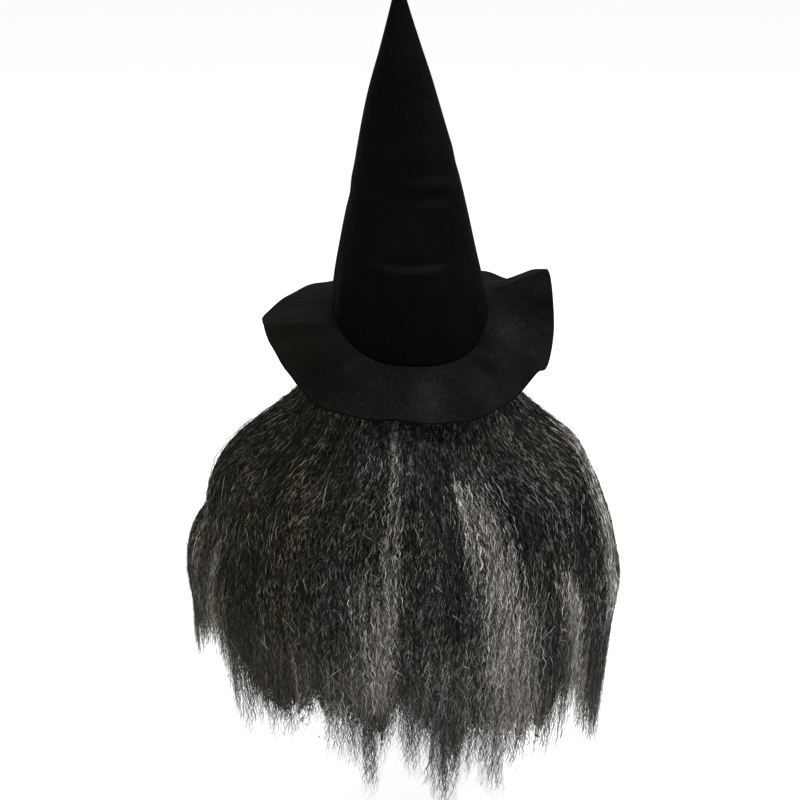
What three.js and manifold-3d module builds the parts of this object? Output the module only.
// A full-head costume mask: a latex hood with a plain face, long frizzy hair and a tall felt witch's hat.
// Millimetres, +Z up. The wearer faces -Y and the wearer's left is +X.
// The origin is the top of the wearer's head, where the inside of the hood's dome rests on it.
import * as THREE from "three";
import { mergeVertices } from "three/addons/utils/BufferGeometryUtils.js";
import Module from "manifold-3d";

const wasm = await Module();
wasm.setup();
const { Manifold, Mesh } = wasm;

// Hood
const headWidth = 156; // room inside, ear to ear
const headDepth = 198; // room inside, brow to the back of the head
const headWidestDrop = 80; // from the top of the head down to its widest level
const domeFullness = 2.3; // 2 is an ellipse, more is a fuller skull
const hoodHeight = 262; // from the top of the head down to the neck hem
const latexWall = 2;

// Face, all measured on the hood
const eyeDrop = 113; // from the top of the head, half way down to the chin
const browDrop = 102; // where the nose's ridge starts
const eyeSpacing = 64; // from middle to middle
const eyeHoleWidth = 33;
const eyeHoleHeight = 17;
const noseDrop = 149; // down to the nostrils
const noseReach = 21; // ahead of the face
const noseWidth = 33;
const nostrilSpacing = 14;
const nostrilWidth = 8;
const nostrilHeight = 5;
const mouthDrop = 173;
const mouthWidth = 46;
const mouthOpening = 5;
const chinDrop = 220; // under the chin
const faceHalfTurn = 58; // the face reaches this many degrees round the head to each side
const reliefDepth = 10; // of the eye sockets; the softer forms are shares of it

// Hat
const feltWall = 2;
const seamGap = 0.7; // between the crown's hem and the brim, where the stitches are
const crownWidth = 178; // outside, at the seam
const crownDepth = 208;
const crownHeight = 345; // from the seam's side up to the tip
const tipRadius = 4;
const tipLeft = 12; // how far the tip leans to the wearer's left
const tipBack = 30; // and to the back
const hatBack = 5; // the hat's middle lies this far behind the head's
const hatRight = 3; // and to the wearer's right
const seamDropBack = 89; // the seam's lowest place, at the back of the head
const brimReach = 77; // from the seam out to the edge, seen from above
const brimFall = 36; // how far the edge hangs below the seam at the back
const creaseDepth = 5;

// Hair
const seatGap = 0.3; // between the hair's band and what it touches
const bandRise = 14; // how far the band goes up inside the crown
const bandHang = 16; // how far it hangs below the brim where hair grows from it
const bandHem = 2; // and over the face, where none does
const bandTaperTurn = 20; // the degrees over which it goes from one to the other
const bandThickness = 14; // before the hood's shape is taken out of it
const hairFall = 430; // from the band down to the common hem
const hairSideReach = 252; // from the middle out over each shoulder
const hairBackReach = 178; // from the hat's middle out over the back
const hairFrontReach = 118; // and out in front of the shoulders
const hairFrontTurn = 134; // where the hair ends beside the face
const hairLeft = 9; // how far its spread lies to the wearer's left
const curtainHem = 0.84; // the share of hairFall that the under layer reaches
const curtainThickness = 9;
const lockWidth = 58;
const lockThickness = 15;
const lockTip = 0.14; // a lock's width at its tip, as a share of lockWidth

const latexColour = 0xcfc9b8;
const feltColour = 0x0b0b0d;
const hairColour = 0x2b2a29;

// A turn is a place round the head in degrees: 0 is the middle of the back, 90 the left ear and 180 the face.

// The head below its widest level: the room's half sizes as shares of half headWidth and half headDepth
const headSections = [
  { drop: 0.305, side: 1.0, back: 1.0, front: 1.0 },
  { drop: 0.42, side: 0.99, back: 0.98, front: 0.98 },
  { drop: 0.55, side: 0.96, back: 0.89, front: 0.96 },
  { drop: 0.68, side: 0.88, back: 0.77, front: 0.95 },
  { drop: 0.78, side: 0.8, back: 0.71, front: 0.93 },
  { drop: 0.85, side: 0.76, back: 0.68, front: 0.84 },
  { drop: 0.91, side: 0.76, back: 0.69, front: 0.69 },
  { drop: 1.0, side: 0.82, back: 0.76, front: 0.71 },
];

// Soft forms of the face: across and wide are shares of eyeSpacing, drop and tall of eyeDrop, out of reliefDepth
const faceForms = [
  { name: "left socket", across: 0.5, drop: 1.0, wide: 0.27, tall: 0.1, out: -1.0 },
  { name: "right socket", across: -0.5, drop: 1.0, wide: 0.27, tall: 0.1, out: -1.0 },
  { name: "brow", across: 0, drop: 0.84, wide: 0.72, tall: 0.06, out: 0.35 },
  { name: "left cheek", across: 0.62, drop: 1.3, wide: 0.24, tall: 0.14, out: 0.4 },
  { name: "right cheek", across: -0.62, drop: 1.3, wide: 0.24, tall: 0.14, out: 0.4 },
  { name: "upper lip", across: 0, drop: 1.48, wide: 0.3, tall: 0.035, out: 0.5 },
  { name: "lower lip", across: 0, drop: 1.59, wide: 0.25, tall: 0.04, out: 0.55 },
  { name: "chin crease", across: 0, drop: 1.69, wide: 0.3, tall: 0.035, out: -0.3 },
  { name: "chin", across: 0, drop: 1.83, wide: 0.3, tall: 0.1, out: 0.7 },
];

// The nose's ridge: place between the brow and the nostrils, and shares of noseReach and noseWidth
const noseRows = [
  { along: -0.2, out: 0.0, wide: 0.3 },
  { along: 0.05, out: 0.25, wide: 0.27 },
  { along: 0.75, out: 0.82, wide: 0.4 },
  { along: 1.0, out: 1.0, wide: 0.46 },
  { along: 1.15, out: 0.12, wide: 0.5 },
  { along: 1.3, out: 0.0, wide: 0.5 },
];

// The seam between crown and brim: how low it runs, as a share of seamDropBack
const seamRows = [
  { turn: 0, low: 1.0 },
  { turn: 25, low: 0.96 },
  { turn: 50, low: 0.8 },
  { turn: 72, low: 0.6 },
  { turn: 95, low: 0.53 },
  { turn: 140, low: 0.49 },
  { turn: 180, low: 0.47 },
  { turn: 220, low: 0.48 },
  { turn: 262, low: 0.54 },
  { turn: 286, low: 0.7 },
  { turn: 308, low: 0.92 },
  { turn: 335, low: 1.0 },
];

// The brim's edge: its fall below the seam and its reach, as shares of brimFall and brimReach
const brimRows = [
  { turn: 0, fall: 1.0, reach: 1.0 },
  { turn: 20, fall: 0.98, reach: 1.0 },
  { turn: 38, fall: 1.08, reach: 0.98 },
  { turn: 52, fall: 0.86, reach: 0.96 },
  { turn: 64, fall: 0.62, reach: 0.98 },
  { turn: 84, fall: 0.42, reach: 1.03 },
  { turn: 92, fall: 0.5, reach: 1.04 },
  { turn: 112, fall: 0.42, reach: 0.94 },
  { turn: 128, fall: 0.36, reach: 0.93 },
  { turn: 150, fall: 0.5, reach: 0.98 },
  { turn: 180, fall: 0.62, reach: 1.02 },
  { turn: 212, fall: 0.2, reach: 1.0 },
  { turn: 230, fall: 0.16, reach: 0.97 },
  { turn: 245, fall: -0.5, reach: 0.95 },
  { turn: 258, fall: -0.78, reach: 0.95 },
  { turn: 268, fall: -0.62, reach: 0.96 },
  { turn: 278, fall: 0.3, reach: 0.99 },
  { turn: 290, fall: 0.94, reach: 0.98 },
  { turn: 302, fall: 0.6, reach: 0.98 },
  { turn: 318, fall: 0.86, reach: 0.98 },
  { turn: 340, fall: 1.0, reach: 1.0 },
];

// The brim between seam and edge: place as a share of the reach, and the share of the edge's fall there
const brimSteps = [
  { out: 0.14, fall: 0.06 },
  { out: 0.36, fall: 0.27 },
  { out: 0.66, fall: 0.63 },
  { out: 1.0, fall: 1.0 },
];

// The crown's outline: level as a share of crownHeight from the tip, half width as a share of half crownWidth
const crownRows = [
  { level: 0.02, wide: 0.09 },
  { level: 0.07, wide: 0.145 },
  { level: 0.16, wide: 0.25 },
  { level: 0.28, wide: 0.395 },
  { level: 0.44, wide: 0.555 },
  { level: 0.68, wide: 0.765 },
  { level: 0.79, wide: 0.858 },
  { level: 0.92, wide: 0.965 },
  { level: 1.0, wide: 1.0 },
];

// Creases and dents pressed into the crown: across and tall are their half sizes, in degrees and as a share of
// crownHeight. A ledge swells above its line and tucks in below it, and a dent only goes in.
const crownCreases = [
  { turn: -32, level: 0.615, across: 26, tall: 0.028, ledge: 0.8, dent: 0.2 },
  { turn: 150, level: 0.615, across: 24, tall: 0.028, ledge: 0.6, dent: 0.2 },
  { turn: -6, level: 0.86, across: 30, tall: 0.03, ledge: -0.55, dent: 0.25 },
  { turn: 76, level: 0.93, across: 9, tall: 0.08, ledge: 0, dent: 0.6 },
  { turn: -58, level: 0.95, across: 10, tall: 0.04, ledge: 0, dent: 0.6 },
];

// How the hair drapes: fall as a share of hairFall, side and back as shares of the way out to their reach
const drapeRows = [
  { fall: 0.0, side: 0.0, back: 0.0 },
  { fall: 0.06, side: 0.02, back: 0.4 },
  { fall: 0.13, side: 0.05, back: 0.7 },
  { fall: 0.22, side: 0.22, back: 0.88 },
  { fall: 0.31, side: 0.5, back: 0.96 },
  { fall: 0.4, side: 0.76, back: 1.0 },
  { fall: 0.55, side: 0.93, back: 1.0 },
  { fall: 0.7, side: 1.0, back: 0.99 },
  { fall: 0.86, side: 1.0, back: 0.92 },
  { fall: 1.0, side: 0.98, back: 0.85 },
  { fall: 1.2, side: 0.95, back: 0.76 },
];

// The outer locks: where each ends as a share of hairFall, how wide it is as a share of lockWidth, and how far
// it stands proud of the under layer as a share of lockThickness
const lockRows = [
  { turn: 127, end: 0.92, wide: 1.0, proud: 0.1 },
  { turn: 111, end: 1.0, wide: 1.15, proud: 0.35 },
  { turn: 94, end: 0.97, wide: 1.2, proud: 0.05 },
  { turn: 78, end: 0.93, wide: 1.15, proud: 0.35 },
  { turn: 64, end: 0.97, wide: 1.15, proud: 0.1 },
  { turn: 50, end: 0.99, wide: 1.2, proud: 0.35 },
  { turn: 35, end: 0.97, wide: 1.25, proud: 0.05 },
  { turn: 20, end: 0.98, wide: 1.2, proud: 0.35 },
  { turn: 6, end: 1.07, wide: 1.2, proud: 0.1 },
  { turn: -8, end: 1.02, wide: 1.15, proud: 0.35 },
  { turn: -20, end: 1.15, wide: 1.2, proud: 0.05 },
  { turn: -34, end: 1.09, wide: 1.2, proud: 0.35 },
  { turn: -48, end: 1.08, wide: 1.2, proud: 0.1 },
  { turn: -62, end: 1.05, wide: 1.1, proud: 0.4 },
  { turn: -77, end: 0.96, wide: 1.15, proud: 0.05 },
  { turn: -94, end: 1.0, wide: 1.2, proud: 0.35 },
  { turn: -111, end: 0.94, wide: 1.15, proud: 0.1 },
  { turn: -127, end: 0.98, wide: 1.0, proud: 0.35 },
];

// A lock along its length: place as a share of its end, and its width and thickness as shares of the widest
const lockSteps = [
  { along: 0.03, wide: 0.42, thick: 0.4 },
  { along: 0.18, wide: 0.58, thick: 0.8 },
  { along: 0.36, wide: 0.92, thick: 1.0 },
  { along: 0.66, wide: 1.0, thick: 1.0 },
  { along: 0.87, wide: 0.68, thick: 0.7 },
  { along: 1.0, wide: lockTip, thick: 0.16 },
];

// The rings of the dome and of the under layer: shares of headWidestDrop and of curtainHem
const domeSteps = [0, 0.03, 0.12, 0.28, 0.5, 0.75, 1];
const curtainSteps = [0.02, 0.07, 0.15, 0.26, 0.39, 0.54, 0.76, 1];

// How finely each piece is divided
const faceColumns = 17;
const faceRows = 18;
const napeColumns = 9;
const neckRows = 3;
const crownColumns = 30;
const brimColumns = 48;
const curtainColumns = 16;
const lockSides = 6;

const fullTurn = 360;

const sideHeight = -seamDropBack * seamRows.find((row) => row.turn === 95).low;
const tipHeight = sideHeight + crownHeight;
const bandLevel = 1 - bandRise / crownHeight;
const seamBendLevel = 0.45; // below this level the crown's rings start to follow the seam's rise and fall

const radians = THREE.MathUtils.degToRad;
const bell = (distance, halfSize) => Math.exp(-((distance / halfSize) ** 2));

// The signed way from one turn to another, from -180 to 180
function turnBetween(from, to) {
  return THREE.MathUtils.euclideanModulo(to - from + fullTurn / 2, fullTurn) - fullTurn / 2;
}

// Reads one column of a table at any place, on a smooth curve through its rows; with a period the table closes
function readTable(rows, placeColumn, column, place, period = 0) {
  const count = rows.length;
  const { clamp, euclideanModulo } = THREE.MathUtils;
  const row = (i) => rows[period ? euclideanModulo(i, count) : clamp(i, 0, count - 1)];
  const at = (i) => row(i)[placeColumn] + (period ? Math.floor(i / count) * period : 0);
  const x = period ? at(0) + euclideanModulo(place - at(0), period) : clamp(place, at(0), at(count - 1));
  let i = 0;
  while (i < count - (period ? 1 : 2) && at(i + 1) <= x) i += 1;
  const span = at(i + 1) - at(i);
  const slope = (k) => (row(k + 1)[column] - row(k - 1)[column]) / (at(k + 1) - at(k - 1));
  const t = (x - at(i)) / span;
  const startSlope = slope(i) * span;
  const endSlope = slope(i + 1) * span;
  const rise = row(i + 1)[column] - row(i)[column];
  const bend = 3 * rise - 2 * startSlope - endSlope;
  const twist = startSlope + endSlope - 2 * rise;
  return row(i)[column] + t * (startSlope + t * (bend + t * twist));
}

// Evenly spread numbers from one to another, such as turns round the head
function spread(count, from = 0, to = fullTurn, last = 0) {
  return Array.from({ length: count + last }, (_, i) => from + ((to - from) * i) / count);
}

// The outward side of a grid of points, at each of them. Rows run downwards and columns round the head.
function gridNormals(grid, closed) {
  const columns = grid[0].length;
  const side = (row, j) => row[closed ? (j + columns) % columns : THREE.MathUtils.clamp(j, 0, columns - 1)];
  return grid.map((row, i) =>
    row.map((_, j) => {
      const above = grid[Math.max(i - 1, 0)];
      const below = grid[Math.min(i + 1, grid.length - 1)];
      const down = side(below, j).clone().sub(side(above, j));
      let round = side(row, j + 1).clone().sub(side(row, j - 1));
      if (round.lengthSq() < 1e-6) round = side(below, j + 1).clone().sub(side(below, j - 1));
      return round.cross(down).normalize();
    }),
  );
}

// Moves a grid along its normals. A first row that is one point, as at the top of a dome, moves as one.
function offsetGrid(grid, distance, closed = true) {
  const normals = gridNormals(grid, closed);
  return grid.map((row, i) => {
    const pole = row[0].distanceTo(row[Math.floor(row.length / 2)]) < 1e-6;
    const shared = normals[i].reduce((sum, n) => sum.add(n), new THREE.Vector3()).normalize();
    return row.map((point, j) => point.clone().addScaledVector(pole ? shared : normals[i][j], distance));
  });
}

// A closed skin from rows of points that go round it, with flat or pointed ends
function skin(rings) {
  const count = rings[0].length;
  const points = rings.flat();
  const faces = [];
  for (let i = 0; i + 1 < rings.length; i += 1) {
    for (let j = 0; j < count; j += 1) {
      const a = i * count + j;
      const b = i * count + ((j + 1) % count);
      faces.push(a, b, a + count, a + count, b, b + count);
    }
  }
  for (const [ring, flip] of [[0, true], [rings.length - 1, false]]) {
    const middle = rings[ring].reduce((sum, p) => sum.add(p), new THREE.Vector3()).divideScalar(count);
    points.push(middle);
    for (let j = 0; j < count; j += 1) {
      const a = ring * count + j;
      const b = ring * count + ((j + 1) % count);
      faces.push(points.length - 1, ...(flip ? [b, a] : [a, b]));
    }
  }
  return geometryOf(points, faces);
}

// A wall of even thickness: a grid, the same grid set back behind it, and the edges between them
function wall(grid, thickness, closed = true) {
  const inner = offsetGrid(grid, -thickness, closed);
  const rows = grid.length;
  const columns = grid[0].length;
  const points = [...grid.flat(), ...inner.flat()];
  const behind = rows * columns;
  const faces = [];
  const quad = (a, b, c, d) => faces.push(a, b, c, c, b, d);
  const across = closed ? columns : columns - 1;
  for (let j = 0; j < across; j += 1) {
    const next = (j + 1) % columns;
    for (let i = 0; i + 1 < rows; i += 1) {
      const [a, b] = [i * columns + j, i * columns + next];
      quad(a, b, a + columns, b + columns);
      quad(behind + a, behind + a + columns, behind + b, behind + b + columns);
    }
    const [first, last] = [j, (rows - 1) * columns + j];
    const [firstNext, lastNext] = [next, (rows - 1) * columns + next];
    quad(first, behind + first, firstNext, behind + firstNext);
    quad(last, lastNext, behind + last, behind + lastNext);
  }
  if (!closed) {
    for (let i = 0; i + 1 < rows; i += 1) {
      const [left, right] = [i * columns, (i + 1) * columns - 1];
      quad(left, left + columns, behind + left, behind + left + columns);
      quad(right + columns, right, behind + right + columns, behind + right);
    }
  }
  return geometryOf(points, faces);
}

function geometryOf(points, faces) {
  const geometry = new THREE.BufferGeometry().setFromPoints(points);
  geometry.setIndex(faces);
  return geometry;
}

function toSolid(geometry) {
  const bare = geometry.clone();
  bare.deleteAttribute("normal");
  bare.deleteAttribute("uv");
  const merged = mergeVertices(bare, 1e-4);
  const made = new Manifold(
    new Mesh({
      numProp: 3,
      vertProperties: new Float32Array(merged.attributes.position.array),
      triVerts: new Uint32Array(merged.index.array),
    }),
  );
  if (made.volume() < 0) throw new Error("a skin is inside out");
  return made;
}

function fromSolid(solid) {
  const mesh = solid.getMesh();
  const geometry = new THREE.BufferGeometry();
  geometry.setAttribute("position", new THREE.BufferAttribute(mesh.vertProperties, 3));
  geometry.setIndex(new THREE.BufferAttribute(mesh.triVerts, 1));
  return geometry;
}

// Half sizes of the head's room at one drop: to the side, the back and the front
function headAt(drop) {
  const halfWidth = headWidth / 2;
  const halfDepth = headDepth / 2;
  if (drop <= headWidestDrop) {
    const up = (headWidestDrop - drop) / headWidestDrop;
    const share = Math.max(1 - up ** domeFullness, 0) ** (1 / domeFullness);
    return { side: halfWidth * share, back: halfDepth * share, front: halfDepth * share };
  }
  const read = (column) => readTable(headSections, "drop", column, drop / hoodHeight);
  return { side: halfWidth * read("side"), back: halfDepth * read("back"), front: halfDepth * read("front") };
}

// How far the face stands out of the plain head, at a place across it and a drop
function faceRelief(x, drop) {
  const along = (drop - browDrop) / (noseDrop - browDrop);
  const nose = (column) => readTable(noseRows, "along", column, along);
  return faceForms.reduce((out, form) => {
    const across = bell(x - form.across * eyeSpacing, form.wide * eyeSpacing);
    return out + form.out * reliefDepth * across * bell(drop - form.drop * eyeDrop, form.tall * eyeDrop);
  }, noseReach * nose("out") * bell(x, noseWidth * nose("wide")));
}

// The turns of the hood's columns: close together across the face and wide apart round the back
function hoodTurns() {
  const face = spread(faceColumns, fullTurn / 2 - faceHalfTurn, fullTurn / 2 + faceHalfTurn);
  return [...face, ...spread(napeColumns, fullTurn / 2 + faceHalfTurn, (3 * fullTurn) / 2 - faceHalfTurn)];
}

// The inside of the hood, from the top of the head down to the neck hem
function hoodGrid() {
  const domeDrops = domeSteps.map((share) => share * headWidestDrop);
  const faceDrops = spread(faceRows, headWidestDrop, chinDrop).slice(1);
  const neckDrops = spread(neckRows, chinDrop, hoodHeight, 1);
  return [...domeDrops, ...faceDrops, ...neckDrops].map((drop) =>
    hoodTurns().map((turn) => {
      const { side, back, front } = headAt(drop);
      const x = side * Math.sin(radians(turn));
      const toBack = Math.cos(radians(turn));
      const facing = THREE.MathUtils.smoothstep(-toBack, 0.1, 0.6);
      return new THREE.Vector3(x, toBack * (toBack > 0 ? back : front) - facing * faceRelief(x, drop), -drop);
    }),
  );
}

// A bar of oval section that runs through the front of the face, to cut a hole
function faceCutter(width, height, x, drop) {
  const oval = new THREE.Shape().absellipse(0, 0, width / 2, height / 2, 0, 2 * Math.PI);
  const bar = new THREE.ExtrudeGeometry(oval, { depth: headDepth, bevelEnabled: false, curveSegments: 7 });
  bar.rotateX(Math.PI / 2);
  bar.translate(x, 0, -drop);
  return toSolid(bar);
}

function makeHood() {
  const shell = wall(offsetGrid(hoodGrid(), latexWall), latexWall);
  const cutters = [
    faceCutter(eyeHoleWidth, eyeHoleHeight, eyeSpacing / 2, eyeDrop),
    faceCutter(eyeHoleWidth, eyeHoleHeight, -eyeSpacing / 2, eyeDrop),
    faceCutter(nostrilWidth, nostrilHeight, nostrilSpacing / 2, noseDrop + nostrilHeight / 2),
    faceCutter(nostrilWidth, nostrilHeight, -nostrilSpacing / 2, noseDrop + nostrilHeight / 2),
    faceCutter(mouthWidth, mouthOpening, 0, mouthDrop),
  ];
  return cutters.reduce((solid, cutter) => solid.subtract(cutter), toSolid(shell));
}

// The room that the hood takes up with its gap, filled, for the hair to be cut back from
function hoodEnvelope() {
  return toSolid(skin(offsetGrid(hoodGrid(), latexWall + seatGap).slice(1)));
}

function seamHeight(turn) {
  return -seamDropBack * readTable(seamRows, "turn", "low", turn, fullTurn);
}

// A point on an oval round the hat's middle
function onOval(turn, halfWidth, halfDepth, z, x = 0) {
  const angle = radians(turn);
  const across = x - hatRight + halfWidth * Math.sin(angle);
  return new THREE.Vector3(across, hatBack + halfDepth * Math.cos(angle), z);
}

// How far the creases push the crown in or out at one place
function creaseAt(turn, level) {
  return crownCreases.reduce((sum, crease) => {
    const across = bell(turnBetween(crease.turn, turn), crease.across);
    const down = (level - crease.level) / crease.tall;
    const ledge = -crease.ledge * down * Math.exp(0.5 - down * down) * Math.SQRT2;
    return sum + creaseDepth * across * (ledge - crease.dent * bell(down, 1));
  }, 0);
}

// Levels of the crown's rings: the outline's rows and the hair band's top, and more where a ledge lies
function crownLevels() {
  const levels = [bandLevel, ...crownRows.map((row) => row.level)];
  for (const crease of crownCreases.filter((each) => each.ledge)) {
    for (const side of [-0.7, 0, 0.7]) levels.push(crease.level + side * crease.tall);
  }
  return [...new Set(levels)].sort((a, b) => a - b);
}

// Rings round the outside of the crown, at the given levels
function crownRings(levels) {
  return levels.map((level) =>
    spread(crownColumns).map((turn) => {
      const wide = readTable(crownRows, "level", "wide", level);
      const halfWidth = Math.max((wide * crownWidth) / 2, tipRadius);
      const oval = 1 + (crownDepth / crownWidth - 1) * level;
      const push = creaseAt(turn, level);
      const seamShare = THREE.MathUtils.smoothstep(level, seamBendLevel, 1);
      const z = tipHeight - level * crownHeight + seamShare * (seamHeight(turn) + seamGap - sideHeight);
      const point = onOval(turn, halfWidth + push, halfWidth * oval + push, z, tipLeft * (1 - level));
      point.y += tipBack * (1 - level);
      return point;
    }),
  );
}

function makeCrown() {
  const tip = onOval(0, 0, 0, tipHeight, tipLeft).add(new THREE.Vector3(0, tipBack, 0));
  const tipRing = spread(crownColumns).map(() => tip);
  return toSolid(wall([tipRing, ...crownRings(crownLevels())], feltWall));
}

// The top of the brim: a flat margin under the crown's wall, then out to the wavy edge
function brimGrid() {
  const margin = feltWall;
  const steps = [{ out: -margin, fall: 0 }, { out: margin, fall: 0 }];
  return [...steps, ...brimSteps].map((step, i) =>
    spread(brimColumns).map((turn) => {
      const reach = brimReach * readTable(brimRows, "turn", "reach", turn, fullTurn);
      const fall = brimFall * readTable(brimRows, "turn", "fall", turn, fullTurn);
      const out = i < steps.length ? step.out : margin + step.out * (reach - margin);
      return onOval(turn, crownWidth / 2 + out, crownDepth / 2 + out, seamHeight(turn) - step.fall * fall);
    }),
  );
}

function makeBrim() {
  return toSolid(wall(brimGrid(), feltWall));
}

// Where the hair hangs: a point on the under layer's outside, lifted off it by some distance
function drape(turn, fall, lift = 0) {
  const angle = radians(turn);
  const rootSide = crownWidth / 2 - feltWall - seatGap;
  const rootBack = crownDepth / 2 - feltWall - seatGap;
  const side = readTable(drapeRows, "fall", "side", fall);
  const back = readTable(drapeRows, "fall", "back", fall);
  const halfWidth = rootSide + side * (hairSideReach - rootSide) + lift;
  const halfBack = rootBack + back * (hairBackReach - rootBack) + lift;
  const halfFront = rootBack + side * (hairFrontReach - rootBack) + lift;
  const rootHeight = seamHeight(turn) - feltWall - seatGap;
  const z = rootHeight - fall * hairFall;
  return onOval(turn, halfWidth, Math.cos(angle) > 0 ? halfBack : halfFront, z, side * hairLeft);
}

// The band that the hair is sewn to: it goes all round between the hood and the crown, and hangs lower where
// hair grows from it
function hairBand() {
  const levels = crownLevels();
  const inCrown = offsetGrid(crownRings(levels), -feltWall - seatGap).filter((_, i) => levels[i] >= bandLevel);
  const throughBrim = spread(crownColumns).map((turn, i) => {
    const point = inCrown[inCrown.length - 1][i].clone();
    return point.setZ(seamHeight(turn) - feltWall);
  });
  const hem = spread(crownColumns).map((turn, i) => {
    const toSide = Math.abs(turnBetween(0, turn));
    const bare = THREE.MathUtils.smoothstep(toSide, hairFrontTurn - bandTaperTurn, hairFrontTurn);
    const hang = THREE.MathUtils.lerp(bandHang, bandHem, bare);
    return throughBrim[i].clone().setZ(throughBrim[i].z - hang);
  });
  return toSolid(wall([...inCrown, throughBrim, hem], bandThickness));
}

// The under layer of hair, a hollow curtain that is open in front of the face
function hairCurtain() {
  const turns = spread(curtainColumns, -hairFrontTurn, hairFrontTurn, 1);
  const grid = curtainSteps.map((step) => turns.map((turn) => drape(turn, step * curtainHem)));
  return toSolid(wall(grid, curtainThickness, false));
}

// One lock: a flattened tapering bundle that follows the drape, a little sunk into the under layer
function hairLock(row) {
  const sink = 0.4;
  const turnStep = 0.5;
  const fallStep = 0.02;
  const rings = lockSteps.map((step) => {
    const fall = row.end * step.along;
    const halfThickness = (lockThickness * step.thick) / 2;
    const middle = drape(row.turn, fall, row.proud * lockThickness * step.thick - halfThickness * sink);
    const across = drape(row.turn + turnStep, fall).sub(drape(row.turn - turnStep, fall)).setZ(0).normalize();
    const down = drape(row.turn, fall + fallStep).sub(drape(row.turn, fall - fallStep)).normalize();
    const out = across.clone().cross(down).normalize();
    const halfWidth = (lockWidth * row.wide * step.wide) / 2;
    return spread(lockSides).map((turn) =>
      middle
        .clone()
        .addScaledVector(across, halfWidth * Math.cos(radians(turn)))
        .addScaledVector(out, -halfThickness * Math.sin(radians(turn))),
    );
  });
  return toSolid(skin(rings));
}

// The largest shell of a solid: the small spaces that its pieces seal off inside it are filled
function largestShell(solid) {
  return solid.decompose().reduce((largest, shell) => (shell.volume() > largest.volume() ? shell : largest));
}

function makeHair() {
  const layers = lockRows.map(hairLock).reduce((sum, lock) => sum.add(lock), hairCurtain().add(hairBand()));
  return largestShell(layers.subtract(hoodEnvelope()));
}

function addPart(group, name, solid, colour, roughness) {
  const material = new THREE.MeshStandardMaterial({ color: colour, roughness, metalness: 0 });
  const mesh = new THREE.Mesh(fromSolid(solid), material);
  mesh.name = name;
  group.add(mesh);
}

const mask = new THREE.Group();
addPart(mask, "latex_hood", makeHood(), latexColour, 0.55);
addPart(mask, "hair", makeHair(), hairColour, 0.6);
addPart(mask, "hat_brim", makeBrim(), feltColour, 0.95);
addPart(mask, "hat_crown", makeCrown(), feltColour, 0.95);

export default mask;
